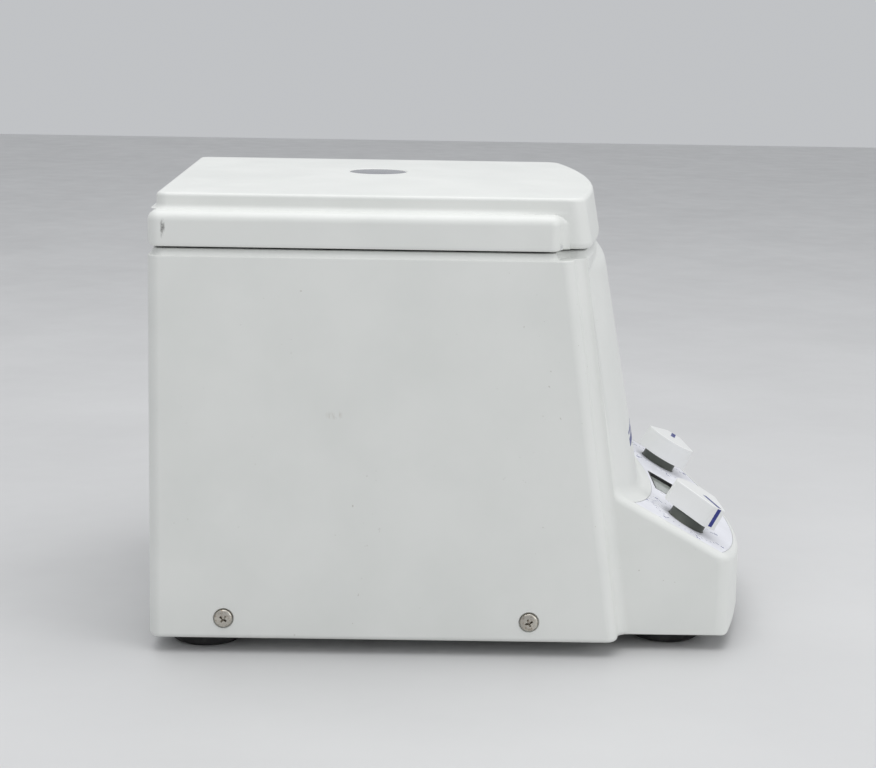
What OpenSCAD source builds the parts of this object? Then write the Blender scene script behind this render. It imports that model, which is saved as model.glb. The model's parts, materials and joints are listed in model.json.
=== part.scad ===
// Benchtop microcentrifuge with a sloped control console, two knobs and a hinged lid.
// Millimetres. +Z is up, the user stands at -Y, X = 0 is the plane of symmetry,
// and the rubber feet stand on Z = 0.

/* [Body] */
// Width over the side walls
body_w = 210; // [206:1:214]
// Depth from the rear wall to the front of the console
body_d = 300; // [298:1:304]
// Height of the housing's top edge above the table
housing_top = 196; // [194:1:198]
// Height of the housing's lower edge above the table
housing_bottom = 7.5; // [7:0.5:8]
// Thickness of the plastic walls
wall = 3; // [2.5:0.25:3]
// Radius of the upright rear corners
rear_corner_r = 6; // [5:1:8]

/* [Front] */
// Width of the narrower front section
front_w = 184; // [182:1:186]
// Lean of the front face from upright, in degrees
front_lean = 10; // [9.5:0.5:10.5]
// Lean of the step between body and front section, in degrees
step_lean = 8; // [7.5:0.5:8.5]
// Radius of the bowed front face in plan
front_bow_r = 250; // [240:5:270]
// Radius of the rounded edge at the top of the front face
brow_r = 14; // [12:1:16]

/* [Console] */
// Slope of the control panel, in degrees
panel_tilt = 29.5; // [29:0.5:30]
// Height of the panel's rear edge at the side
panel_z = 74; // [72:1:76]
// Radius of the console's front outline in plan
console_bow_r = 270; // [260:5:290]
// Distance of each knob from the centre line
knob_x = 62; // [60:1:64]
// Distance of the knobs down the panel from its rear edge
knob_v = 33; // [32:0.5:34]

/* [Lid] */
// Height of the underside of the lid's brim
lid_bottom = 200.4; // [200:0.2:201]
// Height of the top of the brim
brim_top = 217.3; // [216:0.5:218]
// Height of the top of the lid
lid_top = 227.5; // [226:0.5:228]
// Width of the raised cap of the lid
cap_w = 190; // [188:1:192]
// Diameter of the viewing window
window_d = 30; // [26:1:32]

/* [Rotor and chamber] */
// Distance of the spin axis behind the body's centre
spin_y = 43; // [42:0.5:44]
// Inner radius of the chamber bowl
bowl_r = 88; // [87:0.5:88]
// Radius of the rotor
rotor_r = 82; // [81:0.5:83]
// Number of tube places
tube_places = 24; // [18:1:24]
// Diameter of a tube place
tube_d = 11; // [10.6:0.1:11]
// Depth of a tube place along its axis
tube_depth = 36; // [34:1:36]

/* [Hidden] */
$fn = 64;

half_w = body_w / 2;
half_front = front_w / 2;
rear_y = body_d / 2;
front_y = -body_d / 2;
step_r = (half_w - half_front) / 2;

// Foot of the leaning front face on the centre line, and of the side step
lean_y = -97.4;
lean_z = 67;
step_y = -73.5;
step_z = 100;

// Console
panel_y = -87.7;
console_corner_r = 8;
chin_r = 7;
membrane_t = 0.5;
pocket_t = 0.6;
collar_r = 10;
collar_h = 4.7;
knob_h = 11.6;
knob_lift = 5;
knob_back_r = 15.5;
knob_nose = 16;
knob_flat = 14.5;
shaft_r = 3;
key_v = -51;
key_pitch = 20;
key_size = [14, 8];
display_size = [38, 16];
display_v = -29;
display_depth = 2.2;
left_turn = -60;
right_turn = 78;

// Lid and hinge
hinge_y = 145;
hinge_z = 205;
hinge_x = 70;
pin_r = 2;
eye_r = 4;
brim_front_y = -51;
nose_y = -71.5;
nose_z = 206;
nose_bow_r = 420;
nose_corner_r = 10;
cap_rear_y = rear_y - 3;
rim_h = 3.3;
rim_inset = 3.9;
rim_t = 2;
liner_lift = 0.4;
liner_t = 2.4;
liner_screw_r = 1.5;
striker_y = -60;

// Chamber, rotor and drive
sheet = 1.2;
flange_r = bowl_r + 9;
floor_z = 113;
cone_mid_r = 50;
cone_mid_z = 164;
spindle_r = 4;
run_gap = 0.05;
motor_r = 42;
motor_z = 29;
motor_top = 100;

// Rear
rear_panel_y = rear_y - wall;
inlet_x = -58;
inlet_z = 46;
switch_x = -58;
switch_z = 82;

// Base
tray_t = 2;
tray_z = 8;
screw_r = 2;
screw_z = 18;
screw_ys = [113.5, -35.5];
feet = [[77, 124], [-77, 124], [63, -107], [-63, -107]];

function arc(c, r, a0, a1, n) =
    [for (i = [0:n]) [c[0] + r * cos(a0 + (a1 - a0) * i / n), c[1] + r * sin(a0 + (a1 - a0) * i / n)]];

// Left half of an outline whose right half runs from the front to the back
function other_half(p) = [for (i = [len(p) - 1:-1:0]) [-p[i][0], p[i][1]]];

// Centre of the corner arc that joins a bowed front to a straight side
function corner_centre(hw, bow, r) = [hw - r, bow - sqrt(pow(bow - r, 2) - pow(hw - r, 2))];

// Right half of a bowed front through the origin with rounded corners, inset by t
function bow_half(hw, bow, r, t) =
    let (c = corner_centre(hw, bow, r), a = atan2(c[0], bow - c[1]))
    concat(arc([0, bow], bow - t, -90 + a / 10, -90 + a, 9), arc(c, r - t, -90 + a, 0, 5));

// Outline with a bowed front through the origin, inset by t, reaching back to y = back
function bowed(hw, bow, r, t, back) =
    let (half = concat(bow_half(hw, bow, r, t), [[hw - t, back]]))
    concat([[0, t]], half, other_half(half));

// S-curve of the right side step, which starts to widen at y = 0
function step_curve(t) =
    concat(arc([half_front + step_r, 0], step_r + t, 180, 90, 6),
           arc([half_front + step_r, 2 * step_r], step_r - t, -90, 0, 6));

// Outline of the body behind the start of the step
function stepped(t) =
    let (half = concat([[half_front - t, -0.5]], step_curve(t), [[half_w - t, 260]]))
    concat(half, other_half(half));

// Rectangle with rounded rear corners
function rear_outline(hw, y0, y1, r, t) =
    let (half = concat([[hw - t, y0]], arc([hw - r, y1 - r], r - t, 0, 90, 6)))
    concat(half, other_half(half));

// Moves every point of a list
function shifted(points, by) = [for (p = points) p + by];

// Height of the panel's surface at a given y
function panel_height(y) = panel_z + (y - panel_y) * tan(panel_tilt);

// Solid of a side profile of [y, z] points across the full width
module across(profile, width = body_w + 20) {
    rotate([90, 0, 90])
        linear_extrude(width, center = true)
            polygon(profile);
}

// Places its children on the sloped panel: X across, Y up the slope, Z out of the panel
module on_panel() {
    translate([0, panel_y, panel_z])
        rotate([panel_tilt, 0, 0])
            children();
}

module at_spin_axis() {
    translate([0, spin_y, 0])
        children();
}

module both_sides() {
    children();
    mirror([1, 0, 0])
        children();
}

module tube(outer, inner, h) {
    difference() {
        cylinder(r = outer, h = h);
        translate([0, 0, -1])
            cylinder(r = inner, h = h + 2);
    }
}

// Main body behind the step, inset by t
module wide_block(t, z0, z1) {
    intersection() {
        translate([0, step_y, step_z])
            rotate([-step_lean, 0, 0])
                translate([0, 0, -150])
                    linear_extrude(300)
                        polygon(stepped(t));
        translate([0, 0, z0])
            linear_extrude(z1 - z0)
                polygon(rear_outline(half_w, -110, rear_y, rear_corner_r, t));
    }
}

// Leaning front with its rounded brow, inset by t
module tower_block(t, z0, z1) {
    brow_z = housing_top - brow_r;
    brow_y = lean_y + (brow_z - lean_z) * tan(front_lean) + brow_r / cos(front_lean);
    foot_y = lean_y + (z0 - lean_z) * tan(front_lean) + t / cos(front_lean);
    profile = concat([[-20, z0], [-20, z1], [-60, z1]],
                     arc([brow_y, brow_z], brow_r - t, 90, 180 - front_lean, 6), [[foot_y, z0]]);
    intersection() {
        translate([0, lean_y, lean_z])
            rotate([-front_lean, 0, 0])
                translate([0, 0, -100])
                    linear_extrude(260)
                        polygon(bowed(half_front, front_bow_r, 6, t, 60));
        across(profile);
    }
}

// Sloped console, inset by t
module console_block(t, z0) {
    lift = t / cos(panel_tilt);
    chin = [front_y + chin_r, housing_bottom + chin_r];
    profile = concat([[-55, panel_height(-55) - lift], [front_y - 5, panel_height(front_y - 5) - lift]],
                     [[front_y - 5, chin[1]], [front_y + t, chin[1]]],
                     arc(chin, chin_r - t, 180, 260, 6), [[chin[0] + 2, z0], [-55, z0]]);
    intersection() {
        translate([0, front_y, z0])
            linear_extrude(110)
                polygon(bowed(half_front, console_bow_r, console_corner_r, t, 95));
        across(profile);
    }
}

module body_volume(t, z0, z1) {
    wide_block(t, z0, z1);
    tower_block(t, z0, z1);
    console_block(t, z0);
}

// Outline of the printed membrane on the panel
module membrane_outline() {
    front_r = 213;
    rear_r = 203;
    half = 87.5;
    front_a = asin(half / front_r);
    rear_a = asin(half / rear_r);
    polygon(concat(arc([0, front_r - 69], front_r, -90 - front_a, -90 + front_a, 24),
                   arc([0, rear_r - 19], rear_r, -90 + rear_a, -90 - rear_a, 24)));
}

module key_outline(extra = 0) {
    square(key_size + [extra, extra], center = true);
}

module at_keys() {
    for (i = [-1:1])
        translate([i * key_pitch, key_v, 0])
            children();
}

module at_knobs() {
    for (s = [-1, 1])
        translate([s * knob_x, -knob_v, 0])
            children();
}

module vent_slots() {
    for (i = [0:1], k = [0:7])
        translate([4 + i * 40, rear_panel_y - 5, 30 + k * 8])
            cube([34, 10, 3.2]);
}

// ---- Casing ----

// Plan of the rim that stands on the deck just inside the lid's edge
module rim_outline(t) {
    corner_r = 8;
    step = step_y + (housing_top - step_z) * tan(step_lean) + 6;
    half = concat(shifted(bow_half(half_front, nose_bow_r, corner_r, t), [0, nose_y]),
                  shifted(step_curve(t), [0, step]),
                  arc([half_w - corner_r, rear_y - corner_r], corner_r - t, 0, 90, 5));
    polygon(concat(half, other_half(half)));
}

module housing() {
    color("whitesmoke")
        difference() {
            union() {
                body_volume(0, housing_bottom, housing_top);
                translate([0, 0, housing_top - 3])
                    linear_extrude(rim_h + 3)
                        difference() {
                            rim_outline(rim_inset);
                            rim_outline(rim_inset + rim_t);
                        }
            }
            body_volume(wall, housing_bottom - 1, housing_top - wall - 1);
            at_spin_axis() {
                translate([0, 0, housing_top - 10])
                    cylinder(r = bowl_r + 2.5, h = 20);
                translate([0, 0, housing_top - sheet])
                    cylinder(r = flange_r + 0.3, h = 5);
            }
            for (x = [-hinge_x - 10, -hinge_x + 6, hinge_x - 10, hinge_x + 6])
                translate([x - 0.5, hinge_y - 7.4, housing_top - 10])
                    cube([5, 8.8, 20]);
            translate([-8, striker_y - 6, housing_top - 10])
                cube([16, 11, 20]);
            translate([-88, rear_y - 10, 16])
                cube([176, 20, 84]);
            for (x = [-half_w, half_w], y = screw_ys)
                translate([x, y, screw_z])
                    rotate([0, 90, 0]) {
                        cylinder(r = 2.1, h = 12, center = true);
                        cylinder(r = 4.9, h = 2.4, center = true);
                    }
            on_panel() {
                translate([0, 0, -pocket_t])
                    linear_extrude(5)
                        membrane_outline();
                at_knobs()
                    cylinder(r = 4.6, h = 12, center = true);
                at_keys()
                    linear_extrude(12, center = true)
                        key_outline(0.8);
                translate([0, display_v, 0])
                    cube([display_size[0] - 4, display_size[1] - 4, 12], center = true);
                translate([0, display_v, 3 - display_depth])
                    cube([display_size[0], display_size[1], 6], center = true);
            }
        }
}

// Right half of the tray's plan, from the front to the rear corner
function tray_half(fit) =
    let (start = step_y - (step_z - tray_z) * tan(step_lean))
    concat([[half_front - 14, front_y + 15], [half_front - fit, front_y + 26]],
           shifted(step_curve(fit), [0, start]),
           arc([half_w - rear_corner_r, rear_y - rear_corner_r], rear_corner_r - fit, 0, 90, 4));

module base_tray() {
    fit = wall + 0.2;
    color("silver")
        difference() {
            union() {
                translate([0, 0, tray_z])
                    linear_extrude(tray_t)
                        polygon(concat(tray_half(fit), other_half(tray_half(fit))));
                both_sides()
                    translate([half_w - fit - tray_t, -52, tray_z])
                        cube([tray_t, 190, 22]);
            }
            for (f = feet)
                translate([f[0], f[1], 0])
                    cylinder(r = screw_r, h = 20);
            for (y = screw_ys)
                translate([0, y, screw_z])
                    rotate([0, 90, 0])
                        cylinder(r = screw_r, h = 240, center = true);
        }
}

module rubber_feet() {
    color("dimgray")
        for (f = feet)
            translate([f[0], f[1], 0])
                rotate_extrude()
                    polygon([[6.5, 0], [17.5, 0], [19.2, 1.2], [20, tray_z],
                             [2.2, tray_z], [2.2, 4], [6.5, 4]]);
}

module foot_screws() {
    color("gray")
        for (f = feet)
            translate([f[0], f[1], 0]) {
                translate([0, 0, 3])
                    cylinder(r = screw_r, h = 10);
                translate([0, 0, 1.4])
                    difference() {
                        cylinder(r = 4.5, h = 2.6);
                        cross_recess();
                    }
            }
}

// Cross recess cut up into a screw head that faces down
module cross_recess() {
    for (a = [0, 90])
        rotate([0, 0, a])
            cube([4.8, 1, 2.8], center = true);
}

module side_screws() {
    color("silver")
        for (s = [-1, 1], y = screw_ys)
            translate([s * (half_w - 1.2), y, screw_z])
                rotate([0, s * 90, 0]) {
                    translate([0, 0, -7])
                        cylinder(r = screw_r, h = 8);
                    difference() {
                        intersection() {
                            cylinder(r = 4.5, h = 3);
                            translate([0, 0, -5.5])
                                sphere(r = 8.3);
                        }
                        translate([0, 0, 2.8])
                            cross_recess();
                    }
                }
}

module rear_panel() {
    color("gainsboro")
        difference() {
            translate([-92, rear_panel_y - 2, 12])
                cube([184, 2, 92]);
            vent_slots();
            translate([inlet_x - 13.5, rear_panel_y - 5, inlet_z - 14.5])
                cube([27, 10, 29]);
            translate([switch_x - 10, rear_panel_y - 5, switch_z - 7])
                cube([20, 10, 14]);
        }
}

module rating_plate() {
    color("lightgray")
        translate([-32, rear_panel_y, 30])
            cube([26, 0.4, 40]);
}

// Plain double stripe across the foot of the front face
module front_mark() {
    spread = 10;
    r = front_bow_r + 0.06;
    color("royalblue")
        translate([0, lean_y, lean_z])
            rotate([-front_lean, 0, 0])
                for (band = [[26, 4], [32, 1.5]])
                    translate([0, 0, band[0]])
                        linear_extrude(band[1])
                            polygon(concat(
                                arc([0, front_bow_r], r, -90 - spread, -90 + spread, 10),
                                arc([0, front_bow_r], r + 0.3, -90 + spread, -90 - spread, 10)));
}

// ---- Chamber ----

module rotor_chamber() {
    r = bowl_r;
    bend = 14;
    color("silver")
        at_spin_axis()
            rotate_extrude($fn = 96)
                polygon(concat([[flange_r, housing_top - sheet], [flange_r, housing_top], [r, housing_top]],
                               arc([r - bend, floor_z + sheet + bend], bend, 0, -90, 6),
                               [[14, floor_z + sheet], [14, floor_z]],
                               arc([r - bend, floor_z + sheet + bend], bend + sheet, -90, 0, 6),
                               [[r + sheet, housing_top - sheet]]));
}

module chamber_seal() {
    color("darkslategray")
        at_spin_axis()
            translate([0, 0, housing_top])
                rotate_extrude($fn = 96)
                    polygon([[bowl_r + 0.5, 0], [flange_r - 0.5, 0], [flange_r - 0.5, 1.2], [bowl_r + 6, 2.2],
                             [bowl_r + 4, 3.3], [bowl_r + 1.5, 3.3], [bowl_r + 0.5, 2]]);
}

// ---- Lid ----

// Plan of the brim: full width, ending short of the nose
module brim_outline(t) {
    r = 7;
    half = concat(arc([half_w - r, brim_front_y + r], r - t, -90, 0, 5),
                  arc([half_w - rear_corner_r, rear_y - rear_corner_r], rear_corner_r - t, 0, 90, 5));
    polygon(concat(half, other_half(half)));
}

// Raised cap and nose, inset by t, between two heights
module cap_block(t, z0, z1) {
    hw = cap_w / 2;
    nose_reach = cap_rear_y - nose_y;
    intersection() {
        translate([0, nose_y, nose_z])
            rotate([-front_lean, 0, 0])
                translate([0, 0, -40])
                    linear_extrude(140)
                        polygon(bowed(hw, nose_bow_r, nose_corner_r, t, nose_reach + 20));
        translate([0, 0, z0])
            linear_extrude(z1 - z0)
                polygon(rear_outline(hw, -100, cap_rear_y, rear_corner_r, t));
    }
}

// Long plan edges of the cap, eased by a 45 degree bevel
module cap_bevels() {
    b = 3.5;
    both_sides()
        translate([cap_w / 2, 0, lid_top])
            rotate([0, 45, 0])
                cube([b * 1.42, 400, b * 1.42], center = true);
    translate([0, cap_rear_y, lid_top])
        rotate([45, 0, 0])
            cube([300, b * 1.42, b * 1.42], center = true);
    translate([0, nose_y + 1, lid_top])
        rotate([45, 0, 0])
            cube([300, b * 1.42, b * 1.42], center = true);
}

module brim_block(t, z0, z1) {
    translate([0, 0, z0])
        linear_extrude(z1 - z0)
            brim_outline(t);
}

module lid_shell() {
    rear_relief = 3;
    color("white")
        difference() {
            union() {
                brim_block(0, lid_bottom, brim_top);
                difference() {
                    cap_block(0, lid_bottom, lid_top);
                    cap_bevels();
                }
            }
            difference() {
                union() {
                    brim_block(wall, lid_bottom - 1, brim_top - wall);
                    cap_block(wall, lid_bottom - 1, lid_top - wall - 1);
                }
                for (p = liner_screw_places())
                    translate([p[0], p[1], lid_bottom + liner_lift + liner_t])
                        cylinder(r = 4, h = 40);
            }
            for (p = liner_screw_places())
                translate([p[0], p[1], lid_bottom])
                    cylinder(r = liner_screw_r, h = 7.4);
            // Notches in the rear edge, clear of the hinge ears as the lid opens
            both_sides()
                translate([hinge_x - 11, rear_y - 10, lid_bottom - 1])
                    cube([22, 20, 11]);
            // Eased lower rear edge, which swings down as the lid opens
            translate([0, rear_y, lid_bottom])
                rotate([45, 0, 0])
                    cube([300, rear_relief * 1.42, rear_relief * 1.42], center = true);
            at_spin_axis() {
                cylinder(r = window_d / 2 - 2, h = 300);
                translate([0, 0, lid_top - 1.8])
                    cylinder(r = window_d / 2, h = 5);
            }
        }
}

module window_lens() {
    color("slategray", 0.8)
        at_spin_axis() {
            translate([0, 0, lid_top - 1.8])
                cylinder(r = window_d / 2 - 0.1, h = 1.4);
            translate([0, 0, lid_bottom - 1])
                cylinder(r = window_d / 2 - 2.1, h = 2);
        }
}

module lid_liner() {
    fit = wall + 0.2;
    plate_z = lid_bottom + liner_lift;
    color("gainsboro")
        difference() {
            union() {
                intersection() {
                    union() {
                        brim_block(fit, plate_z, plate_z + liner_t);
                        cap_block(fit, plate_z, plate_z + liner_t);
                    }
                    translate([-150, -69, 190])
                        cube([300, 208, 40]);
                }
                // Raised ring that closes onto the chamber seal
                at_spin_axis()
                    translate([0, 0, lid_bottom - 0.8])
                        tube(flange_r - 1, bowl_r - 6, 1.4);
            }
            at_spin_axis()
                translate([0, 0, 190])
                    cylinder(r = window_d / 2 - 2, h = 40);
            both_sides()
                translate([hinge_x - 12, hinge_y - 9, 190])
                    cube([24, 20, 40]);
            for (p = liner_screw_places())
                translate([p[0], p[1], 190])
                    cylinder(r = liner_screw_r, h = 40);
            translate([-7, striker_y - 5, 190])
                cube([14, 10, 40]);
        }
}

function liner_screw_places() = [[90, -40], [-90, -40], [90, 128], [-90, 128], [40, -54], [-40, -54]];

module liner_screws() {
    color("silver")
        for (p = liner_screw_places())
            translate([p[0], p[1], lid_bottom + liner_lift - 2]) {
                translate([0, 0, 1.6])
                    cylinder(r = liner_screw_r, h = 7.4);
                difference() {
                    cylinder(r = 3, h = 2);
                    cross_recess();
                }
            }
}

// Two fixed ears and their foot below the deck, on each side
module hinge_brackets() {
    foot_z = housing_top - wall - 1 - 2;
    color("silver")
        for (s = [-1, 1])
            translate([s * hinge_x, 0, 0])
                difference() {
                    union() {
                        for (x = [-10, 6])
                            translate([x, hinge_y, 0])
                                hinge_ear(foot_z);
                        translate([-10, hinge_y - 15, foot_z])
                            cube([20, 16, 2]);
                    }
                    translate([0, hinge_y, hinge_z])
                        rotate([0, 90, 0])
                            cylinder(r = pin_r, h = 40, center = true);
                }
}

module hinge_ear(foot_z) {
    translate([0, -7, foot_z])
        cube([4, 8, hinge_z - foot_z]);
    translate([0, 0, hinge_z])
        rotate([0, 90, 0])
            cylinder(r = eye_r, h = 4);
}

module hinge_pins() {
    color("silver")
        for (s = [-1, 1])
            translate([s * hinge_x - 11, hinge_y, hinge_z])
                rotate([0, 90, 0])
                    cylinder(r = pin_r, h = 22);
}

// Lid half of each hinge: a knuckle on the pin and a leaf screwed to the liner
module hinge_leaves() {
    leaf_z = lid_bottom + liner_lift + liner_t;
    color("silver")
        for (s = [-1, 1])
            translate([s * hinge_x, hinge_y, 0])
                difference() {
                    union() {
                        translate([-5.5, 0, hinge_z])
                            rotate([0, 90, 0])
                                cylinder(r = eye_r, h = 11);
                        translate([-5.5, -28, leaf_z])
                            cube([11, 28, 2]);
                    }
                    translate([0, 0, hinge_z])
                        rotate([0, 90, 0])
                            cylinder(r = pin_r + run_gap, h = 40, center = true);
                }
}

// Steel loop under the lid's nose that the latch bolt passes through
module lid_striker() {
    base_z = lid_bottom + liner_lift + liner_t;
    color("silver")
        translate([0, striker_y, 0])
            difference() {
                union() {
                    translate([-1.5, -4, 184])
                        cube([3, 8, base_z - 184]);
                    translate([-12, -5.5, base_z])
                        cube([24, 11, 2]);
                }
                translate([-5, -2.4, 186])
                    cube([10, 4.8, 8]);
            }
}

module latch_frame() {
    color("lightsteelblue")
        translate([0, striker_y, 0])
            difference() {
                translate([-26, -6.8, 166])
                    cube([38, 15.8, 26]);
                translate([-8, -5.2, 182])
                    cube([15, 11.2, 20]);
                translate([-50, -1.9, 187.1])
                    cube([100, 3.8, 3.8]);
                translate([-23, -12, 169])
                    cube([32, 24, 10]);
            }
}

module latch_bolt() {
    color("goldenrod")
        translate([-44, striker_y - 1.8, 187.2])
            cube([40, 3.6, 3.6]);
}

module latch_solenoid() {
    color("darkgoldenrod")
        translate([0, striker_y, 0])
            difference() {
                translate([-52, -6, 176])
                    cube([25.8, 15, 16]);
                translate([-49, -2.4, 186.6])
                    cube([30, 4.8, 4.8]);
            }
}

// ---- Rotor and drive ----

// One tube place, from its mouth on the inner cone, leaning out at 45 degrees
module tube_place() {
    translate([cone_mid_r, 0, cone_mid_z])
        rotate([0, 135, 0])
            translate([0, 0, -12])
                cylinder(d = tube_d, h = tube_depth + 12, $fn = 32);
}

module rotor() {
    color("silver")
        at_spin_axis()
            difference() {
                rotate_extrude($fn = 96)
                    polygon([[spindle_r, 122], [14, 122], [20, 130], [70, 130], [rotor_r, 141],
                             [rotor_r, 160], [71, 178], [64, 178], [36, 150], [16, 150],
                             [16, 154], [spindle_r, 154]]);
                for (i = [0:tube_places - 1])
                    rotate([0, 0, i * 360 / tube_places])
                        tube_place();
            }
}

module rotor_nut() {
    color("slategray")
        at_spin_axis()
            translate([0, 0, 154])
                difference() {
                    union() {
                        cylinder(r = 12, h = 2);
                        cylinder(r = 9.2, h = 12, $fn = 6);
                    }
                    translate([0, 0, -1])
                        cylinder(r = spindle_r, h = 20);
                }
}

module motor_shaft() {
    color("lightgray")
        at_spin_axis()
            translate([0, 0, 27])
                cylinder(r = spindle_r, h = 141);
}

module motor_armature() {
    color("peru")
        at_spin_axis()
            translate([0, 0, 46])
                tube(26, spindle_r, 36);
}

module motor_can() {
    color("dimgray")
        at_spin_axis()
            difference() {
                translate([0, 0, motor_z])
                    cylinder(r = motor_r, h = motor_top - motor_z - 5);
                translate([0, 0, motor_z + 5])
                    cylinder(r = motor_r - 8, h = motor_top);
                cylinder(r = 11, h = 60);
            }
}

module motor_end_cap() {
    color("gray")
        at_spin_axis()
            translate([0, 0, motor_top - 5])
                tube(motor_r, 11, 5);
}

module motor_bearings() {
    color("lightsteelblue")
        at_spin_axis()
            for (z = [motor_z - 1, motor_top - 6])
                translate([0, 0, z])
                    tube(11, spindle_r + run_gap, 7);
}

module motor_plate() {
    color("silver")
        at_spin_axis()
            translate([0, 0, motor_z - 3])
                difference() {
                    cylinder(r = 62, h = 3);
                    translate([0, 0, -1])
                        cylinder(r = 13, h = 5);
                    at_mounts()
                        cylinder(r = 3, h = 20, center = true);
                }
}

module at_mounts() {
    for (a = [90, 210, 330])
        rotate([0, 0, a])
            translate([53, 0, 0])
                children();
}

module vibration_mounts() {
    color("black")
        at_spin_axis()
            translate([0, 0, tray_z + tray_t])
                at_mounts() {
                    cylinder(r = 9, h = motor_z - 3 - tray_z - tray_t);
                    cylinder(r = 3, h = motor_z - tray_z);
                }
}

module shaft_boot() {
    color("black")
        at_spin_axis()
            rotate_extrude()
                polygon([[17, motor_top], [24, motor_top], [18, 104], [23, 108],
                         [17, floor_z], [14, floor_z], [14, 116], [11, 116],
                         [11, floor_z - 1], [14, 110], [17, 108], [12, 104]]);
}

// ---- Console ----

module panel_membrane() {
    color("lavender")
        on_panel()
            translate([0, 0, -pocket_t])
                linear_extrude(membrane_t)
                    difference() {
                        membrane_outline();
                        at_knobs()
                            circle(r = collar_r + 0.3);
                        at_keys()
                            key_outline(0.8);
                        translate([0, display_v])
                            square(display_size, center = true);
                    }
}

// Frame that lines the walls of the display's recess
module display_bezel() {
    rim = 0.8;
    floor_h = 0.5;
    color("black")
        on_panel()
            translate([0, display_v, -display_depth])
                difference() {
                    translate([-display_size[0] / 2, -display_size[1] / 2, floor_h])
                        cube([display_size[0], display_size[1], display_depth - floor_h - 0.1]);
                    cube([display_size[0] - 2 * rim, display_size[1] - 2 * rim, 8], center = true);
                }
}

module display_lens() {
    lens_t = 0.5;
    color("darkseagreen")
        on_panel()
            translate([0, display_v, lens_t / 2 - display_depth])
                cube([display_size[0], display_size[1], lens_t], center = true);
}

module display_module() {
    color("black")
        on_panel()
            translate([-21, display_v - 10, -15])
                cube([42, 20, 11.6]);
}

module control_board() {
    color("seagreen")
        on_panel()
            translate([-76, -57, -16.6])
                cube([152, 42, 1.6]);
}

module board_posts() {
    color("white")
        on_panel()
            for (x = [-72, 72], y = [-53, -19])
                translate([x, y, -15])
                    cylinder(r = 3, h = 12);
}

module key_button(i) {
    color("lightsteelblue")
        on_panel()
            translate([i * key_pitch, key_v, 0]) {
                translate([0, 0, -4])
                    linear_extrude(4.7)
                        key_outline();
                translate([0, 0, -4.6])
                    linear_extrude(1.2)
                        key_outline(2);
            }
}

module key_switches() {
    color("black")
        on_panel()
            at_keys()
                translate([-3, -3, -15])
                    cube([6, 6, 9.6]);
}

// Outline of a knob's cap, with its nose pointing down the slope
module knob_outline() {
    a = acos(knob_flat / knob_back_r);
    polygon(concat(arc([0, 0], knob_back_r, a, 180 - a, 12),
                   arc([-3.4, -knob_nose + 1.6], 1.6, 205, 270, 3),
                   arc([3.4, -knob_nose + 1.6], 1.6, -90, -25, 3)));
}

module pointer_strip() {
    translate([-1.2, -knob_nose, knob_h - 0.4])
        cube([2.4, 14, 0.4]);
    translate([-1.2, -knob_nose, 0.8])
        cube([2.4, 0.4, knob_h - 0.8]);
}

module at_knob(side, turn) {
    on_panel()
        translate([side * knob_x, -knob_v, 0])
            rotate([0, 0, turn])
                children();
}

module knob_cap(side, turn) {
    color("white")
        at_knob(side, turn)
            translate([0, 0, knob_lift])
                difference() {
                    linear_extrude(knob_h)
                        knob_outline();
                    translate([0, 0, -1])
                        cylinder(r = shaft_r, h = 7);
                    pointer_strip();
                }
}

module pointer(side, turn) {
    color("navy")
        at_knob(side, turn)
            translate([0, 0, knob_lift])
                pointer_strip();
}

module pot_shaft(side, turn) {
    color("silver")
        at_knob(side, turn)
            translate([0, 0, -12])
                cylinder(r = shaft_r, h = knob_lift + 6 + 12);
}

module knob_collars() {
    color("slategray")
        on_panel()
            at_knobs()
                translate([0, 0, -pocket_t])
                    difference() {
                        tube(collar_r, shaft_r + run_gap, collar_h + pocket_t);
                        translate([0, 0, -1])
                            cylinder(r = 5.2, h = 3.5);
                    }
}

module potentiometers() {
    color("steelblue")
        on_panel()
            at_knobs()
                difference() {
                    union() {
                        translate([0, 0, -15])
                            cylinder(r = 8.5, h = 11.6);
                        translate([0, 0, -4])
                            cylinder(r = 4.5, h = 5);
                    }
                    translate([0, 0, -13])
                        cylinder(r = shaft_r + run_gap, h = 20);
                }
}

// ---- Power ----

module power_board() {
    color("darkgreen")
        translate([50, -64, tray_z + tray_t + 6]) {
            cube([36, 70, 1.6]);
            for (y = [9, 33, 57])
                translate([8, y, 1.6])
                    cylinder(r = 6, h = 22);
            translate([24, 12, 1.6])
                cube([4, 46, 26]);
            for (x = [3, 33], y = [3, 67])
                translate([x, y, -6])
                    cylinder(r = 2.5, h = 6);
        }
}

// Iron frame of the mains transformer, open from front to back
module transformer_core() {
    color("saddlebrown")
        translate([-88, -66, tray_z + tray_t])
            difference() {
                cube([44, 58, 52]);
                translate([13, -1, 14])
                    cube([18, 60, 24]);
            }
}

module transformer_winding() {
    color("peru")
        translate([-75, -72, tray_z + tray_t + 14])
            cube([18, 70, 24]);
}

module mains_inlet() {
    color("black")
        translate([inlet_x, rear_panel_y, inlet_z])
            difference() {
                union() {
                    translate([-16, 0, -17])
                        cube([32, 2, 34]);
                    translate([-13.3, -24, -14.3])
                        cube([26.6, 24, 28.6]);
                }
                translate([-12, -15, -4])
                    cube([24, 30, 16.5]);
                translate([-11.2, -20, -12.7])
                    cube([22.4, 30, 6.4]);
            }
}

module inlet_pins() {
    color("silver")
        translate([inlet_x, rear_panel_y - 15, inlet_z + 4])
            for (p = [[-7, -2], [7, -2], [0, 2]])
                translate([p[0] - 1, 0, p[1] - 2])
                    cube([2, 12, 4]);
}

module fuse_drawer() {
    color("dimgray")
        translate([inlet_x, rear_panel_y, inlet_z - 9.5]) {
            translate([-10.8, -18, -2.8])
                cube([21.6, 18.5, 5.6]);
            translate([-10.8, 0.5, -2.8])
                cube([21.6, 2, 5.6]);
        }
}

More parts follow.
